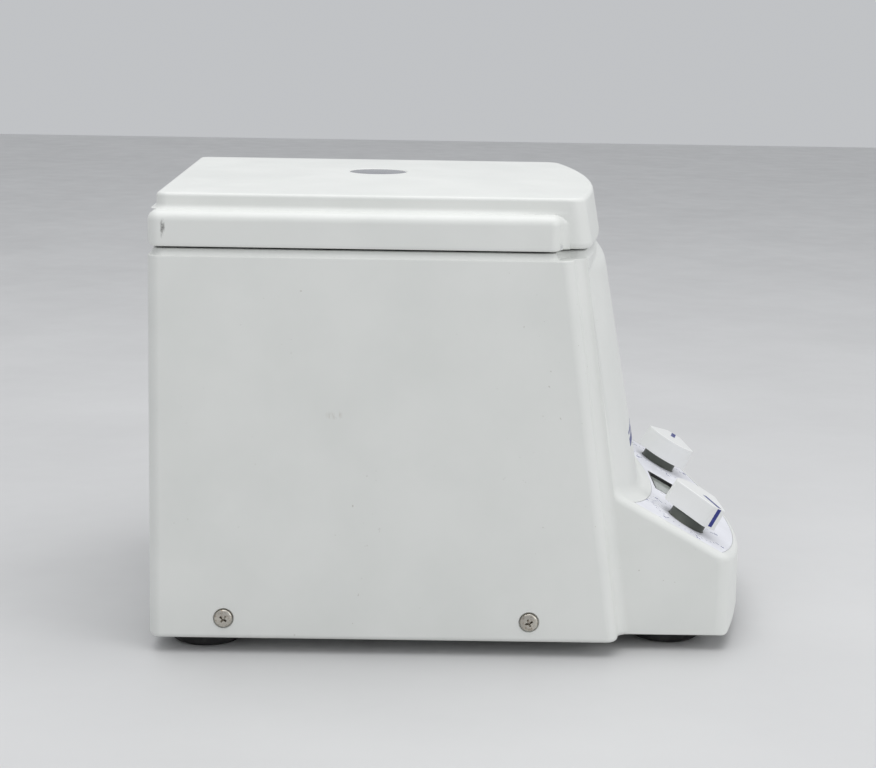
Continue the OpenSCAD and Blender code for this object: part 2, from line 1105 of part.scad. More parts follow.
module switch_bezel() {
    color("black")
        translate([switch_x, rear_panel_y, switch_z])
            difference() {
                union() {
                    translate([-12, 0, -9])
                        cube([24, 1.4, 18]);
                    translate([-9.8, -16, -6.8])
                        cube([19.6, 16, 13.6]);
                }
                translate([-8, -9, -5])
                    cube([16, 20, 10]);
            }
}

// Rocker that tips about its middle, resting with its left end pressed in
module power_rocker() {
    color("dimgray")
        translate([switch_x, rear_panel_y - 2, switch_z])
            rotate([0, 0, 8])
                linear_extrude(9.2, center = true)
                    polygon([[-7, -2.5], [-2, -5], [2, -5], [7, -2.5], [6.9, 2.2], [0, 1], [-6.9, 2.2]]);
}

housing();
base_tray();
rubber_feet();
foot_screws();
side_screws();
rear_panel();
rating_plate();
front_mark();
rotor_chamber();
chamber_seal();
lid_shell();
lid_liner();
liner_screws();
window_lens();
hinge_brackets();
hinge_leaves();
hinge_pins();
lid_striker();
latch_frame();
latch_bolt();
latch_solenoid();
rotor();
rotor_nut();
motor_shaft();
motor_armature();
motor_can();
motor_end_cap();
motor_bearings();
motor_plate();
vibration_mounts();
shaft_boot();
panel_membrane();
display_bezel();
display_lens();
display_module();
control_board();
board_posts();
key_button(-1);  // key_short_spin
key_button(0);  // key_start_stop
key_button(1);  // key_lid_open
key_switches();
knob_cap(-1, left_turn);  // knob_left
knob_cap(1, right_turn);  // knob_right
pointer(-1, left_turn);  // pointer_left
pointer(1, right_turn);  // pointer_right
knob_collars();
potentiometers();
pot_shaft(-1, left_turn);  // pot_shaft_left
pot_shaft(1, right_turn);  // pot_shaft_right
power_board();
transformer_core();
transformer_winding();
mains_inlet();
inlet_pins();
fuse_drawer();
switch_bezel();
power_rocker();
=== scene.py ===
"""Looks of a benchtop microcentrifuge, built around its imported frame.

Sizes below are in millimetres, in the frame's own axes, and become metres as each mesh is made.
+Z is up, the user stands at -Y, and X = 0 is the plane of symmetry.
"""
import json
import math

import bmesh
import bpy
from mathutils import Matrix, Vector


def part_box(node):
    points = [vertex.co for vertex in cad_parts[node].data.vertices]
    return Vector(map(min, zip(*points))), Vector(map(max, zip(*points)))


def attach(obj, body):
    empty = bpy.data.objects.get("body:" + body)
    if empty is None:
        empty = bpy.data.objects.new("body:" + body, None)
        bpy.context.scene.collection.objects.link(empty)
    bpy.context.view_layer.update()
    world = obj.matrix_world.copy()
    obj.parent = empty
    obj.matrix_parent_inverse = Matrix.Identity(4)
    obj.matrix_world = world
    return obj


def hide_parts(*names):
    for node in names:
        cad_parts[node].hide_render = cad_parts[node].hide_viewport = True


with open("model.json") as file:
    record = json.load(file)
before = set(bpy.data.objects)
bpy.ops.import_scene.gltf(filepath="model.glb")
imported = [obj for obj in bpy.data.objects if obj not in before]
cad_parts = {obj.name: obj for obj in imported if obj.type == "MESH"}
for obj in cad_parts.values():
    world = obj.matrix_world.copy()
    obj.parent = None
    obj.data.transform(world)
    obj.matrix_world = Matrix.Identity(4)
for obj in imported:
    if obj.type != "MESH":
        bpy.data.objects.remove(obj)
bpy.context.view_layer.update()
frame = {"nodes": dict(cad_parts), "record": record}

MM = 0.001


def box_mm(node):
    """Lowest and highest corner of a CAD node, in millimetres."""
    low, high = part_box(node)
    return low / MM, high / MM


# ---- Driving sizes, taken from the frame where a node shows them ----

HOUSING_LOW, HOUSING_HIGH = box_mm("housing")
LID_LOW, LID_HIGH = box_mm("lid_shell")
HALF_W = HOUSING_HIGH.x
REAR_Y = HOUSING_HIGH.y
FRONT_Y = HOUSING_LOW.y
BOTTOM_Z = HOUSING_LOW.z
DECK_Z = 196.0
RIM_TOP_Z = 199.3
REAR_R = 6.0
WALL = 3.0
STEP_R = 6.5
HALF_FRONT = HALF_W - 2 * STEP_R
STEP_Y, STEP_Z, STEP_LEAN = -73.5, 100.0, math.radians(8)
LEAN_Y, LEAN_Z, FRONT_LEAN = -97.4, 67.0, math.radians(10)
FRONT_BOW_R, TOWER_CORNER_R, BROW_R = 250.0, 6.0, 14.0
CONSOLE_BOW_R, CONSOLE_CORNER_R, CHIN_R = 270.0, 8.0, 7.0
PANEL_Y, PANEL_Z, PANEL_TILT = -87.7, 74.0, math.radians(29.5)
RIM_R = 4.0
SPIN_Y = 43.0
BOWL_R = 88.0
KNOB_X, KNOB_V = 62.0, 33.0
SHAFT_HOLE_R = 3.03
DISPLAY_V = 29.0
KEY_V, KEY_PITCH = 51.0, 20.0
HINGE_X, HINGE_Y = 70.0, 145.0
STRIKER_Y = -60.0
BRIM_FRONT_Y = -51.5
KNOB_LIFT, KNOB_TOP, KNOB_NOSE = 5.0, 16.6, 16.0
CAP_HALF = 95.0
BRIM_TOP_Z, BRIM_STEP_R = 217.3, 5.0
NOSE_Y, NOSE_Z, NOSE_BOW_R, NOSE_R = -71.5, 206.0, 420.0, 9.0
CAP_REAR_Y = REAR_Y - 3
WINDOW_R = 15.0


# ---- Mesh helpers ----

def arc(cx, cy, r, a0, a1, n):
    """Points of an arc, angles in degrees."""
    angles = [math.radians(a0 + (a1 - a0) * i / n) for i in range(n + 1)]
    return [(cx + r * math.cos(a), cy + r * math.sin(a)) for a in angles]


def mirrored(half):
    """A closed outline from its right half, which runs from the front to the back."""
    return half + [(-x, y) for x, y in reversed(half)]


def make_object(name, bm, smooth_angle=30, weighted=True):
    """Turns a bmesh in millimetres into an object in metres with clean shading."""
    bmesh.ops.recalc_face_normals(bm, faces=bm.faces)
    mesh = bpy.data.meshes.new(name)
    bm.to_mesh(mesh)
    bm.free()
    mesh.transform(Matrix.Scale(MM, 4))
    obj = bpy.data.objects.new(name, mesh)
    bpy.context.scene.collection.objects.link(obj)
    shade(obj, smooth_angle, weighted)
    return obj


def shade(obj, smooth_angle=30, weighted=True):
    obj.data.shade_smooth()
    obj.data.set_sharp_from_angle(angle=math.radians(smooth_angle))
    if weighted:
        modifier = obj.modifiers.new("even_shading", "WEIGHTED_NORMAL")
        modifier.keep_sharp = True
        modifier.weight = 80


def loft(bm, rings):
    """Skins rings of equal length with quads, and closes the ends with flat faces."""
    rows = [[bm.verts.new(p) for p in ring] for ring in rings]
    count = len(rows[0])
    for a, b in zip(rows, rows[1:]):
        for i in range(count):
            j = (i + 1) % count
            bm.faces.new((a[i], a[j], b[j], b[i]))
    bm.faces.new(list(reversed(rows[0])))
    bm.faces.new(rows[-1])


def lofted(name, rings):
    bm = bmesh.new()
    loft(bm, rings)
    return make_object(name, bm, weighted=False)


def band(bm, rings):
    """Skins rings of equal length and joins the last to the first, as a closed frame."""
    rows = [[bm.verts.new(p) for p in ring] for ring in rings]
    count = len(rows[0])
    for k, row in enumerate(rows):
        following = rows[(k + 1) % len(rows)]
        for i in range(count):
            j = (i + 1) % count
            bm.faces.new((row[i], row[j], following[j], following[i]))


def lathe(bm, profile, centre=(0, 0), steps=64, matrix=None):
    """Turns a closed [radius, z] outline about an upright axis."""
    rows = []
    for i in range(steps):
        a = 2 * math.pi * i / steps
        ring = [Vector((centre[0] + r * math.cos(a), centre[1] + r * math.sin(a), z))
                for r, z in profile]
        if matrix is not None:
            ring = [matrix @ p for p in ring]
        rows.append([bm.verts.new(p) for p in ring])
    count = len(profile)
    for i in range(steps):
        a, b = rows[i], rows[(i + 1) % steps]
        for k in range(count):
            m = (k + 1) % count
            if profile[k][0] > 0 or profile[m][0] > 0:
                bm.faces.new((a[k], b[k], b[m], a[m]))
    bmesh.ops.remove_doubles(bm, verts=bm.verts, dist=1e-5)


def prism(bm, outline, z0, z1, matrix=None):
    """Straight solid of a flat outline."""
    rings = [[Vector((x, y, z)) for x, y in outline] for z in (z0, z1)]
    if matrix is not None:
        rings = [[matrix @ p for p in ring] for ring in rings]
    loft(bm, rings)


# Turns an outline drawn in X and Z, so that its depth runs along Y
ON_REAR = Matrix(((1, 0, 0, 0), (0, 0, 1, 0), (0, 1, 0, 0), (0, 0, 0, 1)))


def block(bm, low, high, matrix=None):
    outline = [(low[0], low[1]), (high[0], low[1]), (high[0], high[1]), (low[0], high[1])]
    prism(bm, outline, low[2], high[2], matrix)


def rounded_rect(w, h, r, n=5):
    corners = [(w - r, h - r, 0), (r - w, h - r, 90), (r - w, r - h, 180), (w - r, r - h, 270)]
    points = []
    for cx, cy, a in corners:
        points += arc(cx, cy, r, a, a + 90, n)
    return points


def circle(r, n=64, cx=0.0, cy=0.0):
    return arc(cx, cy, r, 0, 360 * (n - 1) / n, n - 1)


def inset(points, t):
    """Outline moved inwards by t along its normals; the points run anticlockwise."""
    out = []
    count = len(points)
    for i, (x, y) in enumerate(points):
        x0, y0 = points[i - 1]
        x1, y1 = points[(i + 1) % count]
        a = Vector((x - x0, y - y0)).normalized()
        b = Vector((x1 - x, y1 - y)).normalized()
        na, nb = Vector((-a.y, a.x)), Vector((-b.y, b.x))
        n = (na + nb).normalized()
        scale = t / max(n.dot(na), 0.4)
        out.append((x + n.x * scale, y + n.y * scale))
    return out


def rounded_slab(bm, outline, z0, z1, r_top, r_bottom=0.0, draft=0.0, matrix=None, n=4):
    """Solid of an outline with rounded upper and lower edges and a slight draft."""
    levels = [(z0, 0.0)]
    if r_bottom:
        levels = [(z0 + r_bottom * (1 - math.cos(a)), r_bottom * (1 - math.sin(a)))
                  for a in [math.pi / 2 * i / n for i in range(n + 1)]]
    for i in range(n + 1):
        a = math.pi / 2 * i / n
        levels.append((z1 - r_top * (1 - math.sin(a)), draft + r_top * (1 - math.cos(a))))
    rings = []
    for z, t in levels:
        ring = [Vector((x, y, z)) for x, y in inset(outline, t)]
        rings.append([matrix @ p for p in ring] if matrix is not None else ring)
    loft(bm, rings)


def combine(target, tool, operation):
    """Applies one boolean and removes the tool."""
    modifier = target.modifiers.new("combine", "BOOLEAN")
    modifier.operation = operation
    modifier.solver = "EXACT"
    modifier.object = tool
    graph = bpy.context.evaluated_depsgraph_get()
    mesh = bpy.data.meshes.new_from_object(target.evaluated_get(graph))
    target.modifiers.clear()
    target.data = mesh
    bpy.data.objects.remove(tool)


def add(target, tool):
    combine(target, tool, "UNION")


def cut(target, tool):
    combine(target, tool, "DIFFERENCE")


def cutter(build):
    """A boolean tool from a function that fills a bmesh."""
    bm = bmesh.new()
    build(bm)
    return make_object("cutter", bm, weighted=False)


def finish_piece(obj, body, material, *nodes, slot=None, angle=30):
    """Cleans a piece up, shades it, paints it, ties it to its body, and hides the nodes it replaces."""
    bm = bmesh.new()
    bm.from_mesh(obj.data)
    bmesh.ops.remove_doubles(bm, verts=bm.verts, dist=2e-6)
    bmesh.ops.dissolve_degenerate(bm, edges=bm.edges, dist=1e-6)
    bm.to_mesh(obj.data)
    bm.free()
    shade(obj, angle)
    obj.data.materials.clear()
    obj.data.materials.append(material)
    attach(obj, body)
    if nodes:
        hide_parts(*nodes)
    return obj


# ---- Outlines of the housing ----

def panel_height(y):
    return PANEL_Z + (y - PANEL_Y) * math.tan(PANEL_TILT)


def bow_half(half, bow_r, corner_r, t, front):
    """Right half of a bowed front whose middle is at y = front, inset by t."""
    w, bow = half - t, bow_r - t
    r = max(corner_r - t, 0.4)
    cx = w - r
    cy = front + bow_r - math.sqrt((bow - r) ** 2 - cx ** 2)
    a = math.degrees(math.atan2(cx, front + bow_r - cy))
    return arc(0, front + bow_r, bow, -90 + a / 14, -90 + a, 13) + arc(cx, cy, r, -90 + a, 0, 8)[1:]


def step_curve(t, start, r=STEP_R, inner=HALF_FRONT, n=8):
    """S-curve of the side step, from the narrow front section to the full width."""
    concave = arc(inner + r, start, r + t, 180, 90, n)
    convex = arc(inner + r, start + 2 * r, max(r - t, 0.1), -90, 0, n)
    return concave + convex[1:]


def step_start(z):
    return STEP_Y + (z - STEP_Z) * math.tan(STEP_LEAN)


def wide_ring(z, t):
    """Plan of the wide body behind the step at height z, inset by t.

    The hollow's ring also stops a wall's thickness behind the front, to leave the corners whole.
    """
    inner = 30.0
    start = step_start(z) + (t if t >= WALL else 0)
    r = max(REAR_R - t, 0.4)
    rear = arc(HALF_W - t - r, REAR_Y - t - r, r, 0, 90, 8)
    half = [(inner, start + 0.2), (HALF_FRONT - t - 0.02, start + 0.2)] + step_curve(t, start) + rear
    return [Vector((x, y, z)) for x, y in mirrored(half)]


def wide_body(t, z0, z1, edge=0.0, name="wide_body"):
    """Main body behind the step, with its lower edge rounded by edge."""
    levels = [(z0, t)]
    if edge:
        levels = [(z0 + edge * (1 - math.cos(a)), t + edge * (1 - math.sin(a)))
                  for a in [math.pi / 2 * i / 5 for i in range(6)]]
        levels += [(z1 - 0.8, t), (z1 - 0.25, t + 0.1), (z1, t + 0.5)]
    else:
        levels.append((z1, t))
    return lofted(name, [wide_ring(z, inset_by) for z, inset_by in levels])


def plan_front(x, bow_r, corner_r, half):
    """How far the front has fallen back at x, along its bow and rounded corner."""
    cx = half - corner_r
    rise = bow_r - math.sqrt((bow_r - corner_r) ** 2 - cx ** 2)
    tangent_x = cx * bow_r / (bow_r - corner_r)
    x = abs(x)
    if x <= tangent_x:
        return bow_r - math.sqrt(bow_r ** 2 - x ** 2)
    return rise - math.sqrt(max(corner_r ** 2 - (x - cx) ** 2, 0.0))


def filleted(corners, n=8):
    """Rounds the corners (y, z, radius) of an open line; the ends stay sharp."""
    points = [corners[0][:2]]
    for previous, corner, following in zip(corners, corners[1:], corners[2:]):
        p = Vector(corner[:2])
        a = (Vector(previous[:2]) - p).normalized()
        b = (Vector(following[:2]) - p).normalized()
        r = corner[2]
        half_angle = a.angle(b) / 2
        centre = p + (a + b).normalized() * (r / math.sin(half_angle))
        start = p + a * (r / math.tan(half_angle))
        end = p + b * (r / math.tan(half_angle))
        v0, v1 = start - centre, end - centre
        sweep = v0.angle_signed(v1)
        for i in range(n + 1):
            k = -sweep * i / n
            c, s = math.cos(k), math.sin(k)
            turned = Vector((v0.x * c - v0.y * s, v0.x * s + v0.y * c))
            points.append(tuple(centre + turned))
    points.append(corners[-1][:2])
    return points


def front_profile(x, t=0.0, top=DECK_Z, bottom=BOTTOM_Z):
    """Side profile of the console and the leaning front at x, inset by t."""
    edge = max(abs(x) - (HALF_FRONT - t - RIM_R), 0.0)
    drop = RIM_R - math.sqrt(max(RIM_R ** 2 - edge ** 2, 0.0))
    console_y = FRONT_Y + plan_front(x, CONSOLE_BOW_R, CONSOLE_CORNER_R, HALF_FRONT) + t
    lean_shift = plan_front(x, FRONT_BOW_R, TOWER_CORNER_R, HALF_FRONT) + t / math.cos(FRONT_LEAN)
    panel_drop = (t + drop) / math.cos(PANEL_TILT)
    low = bottom + 0.3 * drop
    high = top - 0.2 * drop

    def wall_y(z):
        return LEAN_Y + (z - LEAN_Z) * math.tan(FRONT_LEAN) + lean_shift

    # Where the panel's plane meets the leaning wall
    slope, lean = math.tan(PANEL_TILT), math.tan(FRONT_LEAN)
    foot_z = ((PANEL_Z - panel_drop) + (wall_y(0) - PANEL_Y) * slope) / (1 - lean * slope)
    chin_r = CHIN_R * max(0.12, 1 - (abs(x) / HALF_FRONT) ** 2 * 0.9) - min(t, 1)
    fillet = 6.0 + 4.0 * (abs(x) / HALF_FRONT) ** 3
    corners = [
        (-40.0, low, 0),
        (console_y, low, chin_r),
        (console_y, panel_height(console_y) - panel_drop, max(RIM_R - t, 0.6)),
        (wall_y(foot_z), foot_z, fillet + t),
        (wall_y(high), high, BROW_R - 7.0 * (abs(x) / HALF_FRONT) ** 4 - t),
        (-40.0, high, 0),
    ]
    return filleted(corners)


def front_section(t, top, bottom):
    """Console and leaning front, skinned from side profiles across the width."""
    half = HALF_FRONT - t
    even = 84
    flat = [even * i / 14 for i in range(14)]
    ends = [even + (half - even) * math.sin(math.pi / 2 * i / 14) for i in range(15)]
    stations = flat + ends
    stations = [-x for x in reversed(stations[1:])] + stations
    rings = [[Vector((x, y, z)) for y, z in front_profile(x, t, top, bottom)] for x in stations]
    return lofted("front_section", rings)


# ---- Materials ----

def socket(shader, name, value):
    shader.inputs[name].default_value = value


class Paint:
    """Small builder for a procedural material on one principled shader."""

    def __init__(self, name, roughness=0.5, metallic=0.0, **sockets):
        self.material = bpy.data.materials.new(name)
        self.material.use_nodes = True
        self.tree = self.material.node_tree
        self.shader = self.tree.nodes["Principled BSDF"]
        socket(self.shader, "Roughness", roughness)
        socket(self.shader, "Metallic", metallic)
        for key, value in sockets.items():
            socket(self.shader, key.replace("_", " "), value)
        self.place = self.node("ShaderNodeTexCoord")

    def node(self, kind, **settings):
        made = self.tree.nodes.new(kind)
        for key, value in settings.items():
            setattr(made, key, value)
        return made

    def link(self, a, b):
        self.tree.links.new(a, b)

    def scaled(self, scale):
        mapping = self.node("ShaderNodeMapping")
        mapping.inputs["Scale"].default_value = scale
        self.link(self.place.outputs["Object"], mapping.inputs["Vector"])
        return mapping.outputs["Vector"]

    def noise(self, size_mm, detail=4.0, roughness=0.5, stretch=(1, 1, 1), distortion=0.0):
        """Noise whose features are about size_mm across."""
        made = self.node("ShaderNodeTexNoise")
        frequency = 1 / (size_mm * MM)
        made.inputs["Scale"].default_value = 1.0
        made.inputs["Detail"].default_value = detail
        made.inputs["Roughness"].default_value = roughness
        made.inputs["Distortion"].default_value = distortion
        self.link(self.scaled([frequency * s for s in stretch]), made.inputs["Vector"])
        return made.outputs["Fac"]

    def spread(self, value, low_in, high_in, low_out, high_out):
        made = self.node("ShaderNodeMapRange")
        ends = {"From Min": low_in, "From Max": high_in, "To Min": low_out, "To Max": high_out}
        for key, number in ends.items():
            made.inputs[key].default_value = number
        self.link(value, made.inputs["Value"])
        return made.outputs["Result"]

    def mix(self, factor, a, b):
        """Colour a where factor is 0 and b where it is 1; either may be a colour or an output."""
        made = self.node("ShaderNodeMix", data_type="RGBA")
        self.link(factor, made.inputs[0])
        for value, entry in ((a, made.inputs[6]), (b, made.inputs[7])):
            if isinstance(value, tuple):
                entry.default_value = (*value, 1.0)
            else:
                self.link(value, entry)
        return made.outputs[2]

    def times(self, a, b):
        made = self.node("ShaderNodeMath", operation="MULTIPLY")
        self.link(a, made.inputs[0])
        if isinstance(b, (int, float)):
            made.inputs[1].default_value = b
        else:
            self.link(b, made.inputs[1])
        return made.outputs[0]

    def near(self, centre_mm, radius_mm, soft=0.5, squeeze=(1, 1, 1)):
        """1 inside an ellipsoid round a place on the object, falling to 0 at its edge."""
        mapping = self.node("ShaderNodeMapping", vector_type="TEXTURE")
        mapping.inputs["Location"].default_value = [c * MM for c in centre_mm]
        mapping.inputs["Scale"].default_value = [radius_mm * MM * s for s in squeeze]
        self.link(self.place.outputs["Object"], mapping.inputs["Vector"])
        length = self.node("ShaderNodeVectorMath", operation="LENGTH")
        self.link(mapping.outputs["Vector"], length.inputs[0])
        return self.spread(length.outputs["Value"], 1.0 - soft, 1.0, 1.0, 0.0)

    def colour(self, output):
        self.link(output, self.shader.inputs["Base Color"])

    def rough(self, output):
        self.link(output, self.shader.inputs["Roughness"])

    def bump(self, output, strength, distance_mm):
        made = self.node("ShaderNodeBump")
        made.inputs["Strength"].default_value = strength
        made.inputs["Distance"].default_value = distance_mm * MM
        self.link(output, made.inputs["Height"])
        if self.shader.inputs["Normal"].is_linked:
            self.link(self.shader.inputs["Normal"].links[0].from_socket, made.inputs["Normal"])
        self.link(made.outputs["Normal"], self.shader.inputs["Normal"])


def moulded_plastic(name, colour, shade_colour, roughness=0.38, grain=0.35, wear=False, scuffs=()):
    """Satin moulding: faint mottling, fine spark-eroded grain, handling marks."""
    paint = Paint(name, roughness=roughness, Specular_IOR_Level=0.45)
    mottle = paint.spread(paint.noise(38, 3), 0.35, 0.68, 0.0, 1.0)
    base = paint.mix(mottle, colour, shade_colour)
    if wear:
        specks = paint.spread(paint.noise(2.6, 2, 0.6), 0.735, 0.76, 0.0, 0.55)
        patches = paint.spread(paint.noise(60, 2), 0.5, 0.62, 0.0, 1.0)
        base = paint.mix(paint.times(specks, patches), base, (0.42, 0.40, 0.35))
    for centre, radius, squeeze, tone in scuffs:
        spot = paint.near(centre, radius, 0.7, squeeze)
        broken = paint.spread(paint.noise(2.2, 5, 0.7, (1, 1, 0.35)), 0.47, 0.6, 0.0, 0.9)
        base = paint.mix(paint.times(spot, broken), base, tone)
    paint.colour(base)
    smears = paint.noise(24, 6, 0.6, (1, 0.6, 1), 1.2)
    paint.rough(paint.spread(smears, 0.3, 0.75, roughness - 0.06, roughness + 0.09))
    paint.bump(paint.noise(0.45, 2), grain * 0.35, 0.02)
    paint.bump(paint.noise(55, 2), 0.10, 0.25)
    return paint.material


def metal(name, colour, roughness=0.3, stretch=(1, 1, 1), stain=None, grain_mm=0.5, strength=0.12):
    """Worked metal: fine tool lines, uneven polish and a little staining."""
    paint = Paint(name, roughness=roughness, metallic=1.0)
    dark = tuple(c * 0.78 for c in colour)
    base = paint.mix(paint.spread(paint.noise(9, 5), 0.35, 0.7, 0.0, 1.0), colour, dark)
    if stain:
        marks = paint.spread(paint.noise(1.6, 5, 0.65), 0.52, 0.66, 0.0, 0.7)
        base = paint.mix(marks, base, stain)
    paint.colour(base)
    lines = paint.noise(grain_mm, 3, 0.6, stretch)
    paint.rough(paint.spread(lines, 0.3, 0.7, roughness - 0.08, roughness + 0.12))
    paint.bump(lines, strength, 0.02)
    return paint.material


def coat(name, colour, roughness=0.45):
    """Powder coat on sheet steel, with its orange-peel surface."""
    paint = Paint(name, roughness=roughness)
    tone = tuple(c * 0.9 for c in colour)
    paint.colour(paint.mix(paint.spread(paint.noise(30, 4), 0.4, 0.65, 0.0, 1.0), colour, tone))
    paint.rough(paint.spread(paint.noise(6, 4), 0.3, 0.7, roughness - 0.07, roughness + 0.1))
    paint.bump(paint.noise(1.3, 2), 0.22, 0.05)
    return paint.material


def rubber(name, colour=(0.028, 0.028, 0.028)):
    paint = Paint(name, roughness=0.72, Specular_IOR_Level=0.3)
    dusty = tuple(c + 0.05 for c in colour)
    dust = paint.spread(paint.noise(7, 6, 0.65), 0.48, 0.72, 0.0, 0.8)
    paint.colour(paint.mix(dust, colour, dusty))
    paint.rough(paint.spread(paint.noise(4, 4), 0.3, 0.7, 0.6, 0.85))
    paint.bump(paint.noise(0.8, 4), 0.3, 0.06)
    return paint.material


def film(name, colour, roughness=0.3):
    """Printed polyester film with a faint pebble."""
    paint = Paint(name, roughness=roughness, Specular_IOR_Level=0.5)
    tone = tuple(c * 0.94 for c in colour)
    paint.colour(paint.mix(paint.spread(paint.noise(14, 3), 0.4, 0.65, 0.0, 1.0), colour, tone))
    paint.rough(paint.spread(paint.noise(9, 5), 0.3, 0.7, roughness - 0.05, roughness + 0.12))
    paint.bump(paint.noise(0.6, 2), 0.12, 0.02)
    return paint.material


def ink(name, colour):
    paint = Paint(name, roughness=0.35)
    tone = tuple(min(c * 1.5 + 0.01, 1) for c in colour)
    paint.colour(paint.mix(paint.spread(paint.noise(1.2, 4), 0.5, 0.72, 0.0, 0.7), colour, tone))
    paint.rough(paint.spread(paint.noise(2, 3), 0.3, 0.7, 0.28, 0.48))
    paint.bump(paint.noise(0.5, 2), 0.1, 0.01)
    return paint.material


def glass(name, colour, clearness, roughness=0.06):
    """Tinted window: a glossy dark sheet that lets a little light through."""
    paint = Paint(name, roughness=roughness, Transmission_Weight=clearness, IOR=1.47)
    tone = tuple(c * 0.9 for c in colour)
    paint.colour(paint.mix(paint.spread(paint.noise(6, 4), 0.4, 0.7, 0.0, 1.0), colour, tone))
    smears = paint.noise(5, 5, 0.7, distortion=1.0)
    paint.rough(paint.spread(smears, 0.4, 0.75, roughness, roughness + 0.12))
    paint.bump(paint.noise(8, 3), 0.05, 0.03)
    return paint.material


def laminate(name):
    """Circuit board with solder mask and a hint of tracks."""
    paint = Paint(name, roughness=0.35)
    tracks = paint.spread(paint.noise(2.4, 1, 0.3, (1, 3, 1)), 0.49, 0.51, 0.0, 0.8)
    paint.colour(paint.mix(tracks, (0.010, 0.075, 0.03), (0.02, 0.14, 0.05)))
    paint.rough(paint.spread(tracks, 0, 1, 0.42, 0.3))
    paint.bump(tracks, 0.25, 0.04)
    return paint.material


# Worn places of the casing: centre, radius, squeeze and colour
SCUFFS = [
    ((-105, 142.2, 209), 3.6, (1, 0.42, 1.5), (0.09, 0.085, 0.08)),
    ((-105, 60, 120), 5.0, (1, 1, 0.5), (0.60, 0.58, 0.54)),
    ((-92, -140, 40), 4.0, (1, 1, 1.6), (0.55, 0.52, 0.47)),
]

CASING = moulded_plastic("casing_satin", (0.80, 0.81, 0.785), (0.765, 0.778, 0.752), wear=True, scuffs=SCUFFS)
KNOB_WHITE = moulded_plastic("knob_satin", (0.84, 0.845, 0.835), (0.81, 0.815, 0.805), 0.34, 0.2)
LINER_GREY = moulded_plastic("liner_satin", (0.66, 0.67, 0.665), (0.62, 0.63, 0.625), 0.45)
KEY_BLUE = moulded_plastic("key_satin", (0.33, 0.40, 0.55), (0.30, 0.37, 0.52), 0.42)
COLLAR_GREY = moulded_plastic("collar_satin", (0.105, 0.115, 0.098), (0.075, 0.083, 0.07), 0.5, 0.6)
BLACK = moulded_plastic("black_satin", (0.018, 0.018, 0.018), (0.028, 0.028, 0.028), 0.42, 0.5)
STEEL = metal("turned_steel", (0.60, 0.59, 0.57), 0.28)
SCREW_STEEL = metal("nickel_screw", (0.62, 0.59, 0.53), 0.33, stain=(0.22, 0.13, 0.06))
STAINLESS = metal("spun_stainless", (0.62, 0.63, 0.63), 0.22, (0.06, 0.06, 3.0), grain_mm=0.8)
ALUMINIUM = metal("turned_aluminium", (0.50, 0.51, 0.53), 0.3, (0.1, 0.1, 3.0), grain_mm=0.7)
IRON = metal("lacquered_iron", (0.16, 0.16, 0.17), 0.45)
FOIL = metal("blank_foil", (0.68, 0.68, 0.67), 0.4, (0.15, 4.0, 1.0))
SHEET_COAT = coat("powder_coat", (0.63, 0.64, 0.63))
RUBBER = rubber("moulded_rubber")
MEMBRANE = film("printed_film", (0.87, 0.875, 0.93))
BLUE_INK = ink("blue_ink", (0.012, 0.022, 0.20))
GREY_INK = ink("grey_ink", (0.16, 0.19, 0.30))
SMOKED = glass("smoked_window", (0.30, 0.31, 0.35), 0.45)
LCD = film("lcd_glass", (0.36, 0.39, 0.36), 0.14)
BOARD = laminate("board_laminate")
TAPE = moulded_plastic("winding_tape", (0.45, 0.22, 0.05), (0.38, 0.18, 0.04), 0.35)


# ---- Housing ----

def panel_matrix(u=0.0, v=0.0, turn=0.0):
    """Frame on the sloped panel: X across, Y up the slope, Z out of the panel."""
    place = Matrix.Translation((0, PANEL_Y, PANEL_Z)) @ Matrix.Rotation(PANEL_TILT, 4, "X")
    return place @ Matrix.Translation((u, v, 0)) @ Matrix.Rotation(turn, 4, "Z")


def at_knob(side, turn=0.0):
    return panel_matrix(side * KNOB_X, -KNOB_V, turn)


def at_key(i):
    """Key places, from -1 on the left to 1 on the right."""
    return panel_matrix(i * KEY_PITCH, -KEY_V)


def at_display():
    return panel_matrix(0, -DISPLAY_V)


def membrane_points(shrink=0.0):
    """Outline of the printed membrane, as an arc in front and a flatter one behind."""
    front_r, rear_r, half = 213.0 - shrink, 203.0 + shrink, 87.5 - shrink
    front_a = math.degrees(math.asin(half / front_r))
    rear_a = math.degrees(math.asin(half / rear_r))
    front = arc(0, 213 - 69, front_r, -90 - front_a, -90 + front_a, 40)
    rear = arc(0, 203 - 19, rear_r, -90 + rear_a, -90 - rear_a, 40)
    return front + rear


def rim_ring(z, t):
    """Plan of the raised rim on the deck, just inside the lid's edge."""
    start = step_start(DECK_Z) + 6
    corner = 8.0
    r = max(corner - t, 0.5)
    rear = arc(HALF_W - t - r, REAR_Y - t - r, r, 0, 90, 8)
    half = bow_half(HALF_FRONT, NOSE_BOW_R, corner, t, NOSE_Y) + step_curve(t, start) + rear
    return [Vector((x, y, z)) for x, y in mirrored(half)]


def deck_rim():
    """Bevelled kerb that the lid closes over: a ring with a sloping outer face."""
    section = [(190.5, 0.75), (195.85, 0.55), (196.05, 0.75), (198.7, 2.3), (199.1, 2.6), (RIM_TOP_Z, 3.0),
               (RIM_TOP_Z, 5.4), (199.1, 5.7), (198.8, 5.9), (190.5, 5.9)]
    bm = bmesh.new()
    band(bm, [rim_ring(z, t) for z, t in section])
    return make_object("deck_rim", bm, weighted=False)


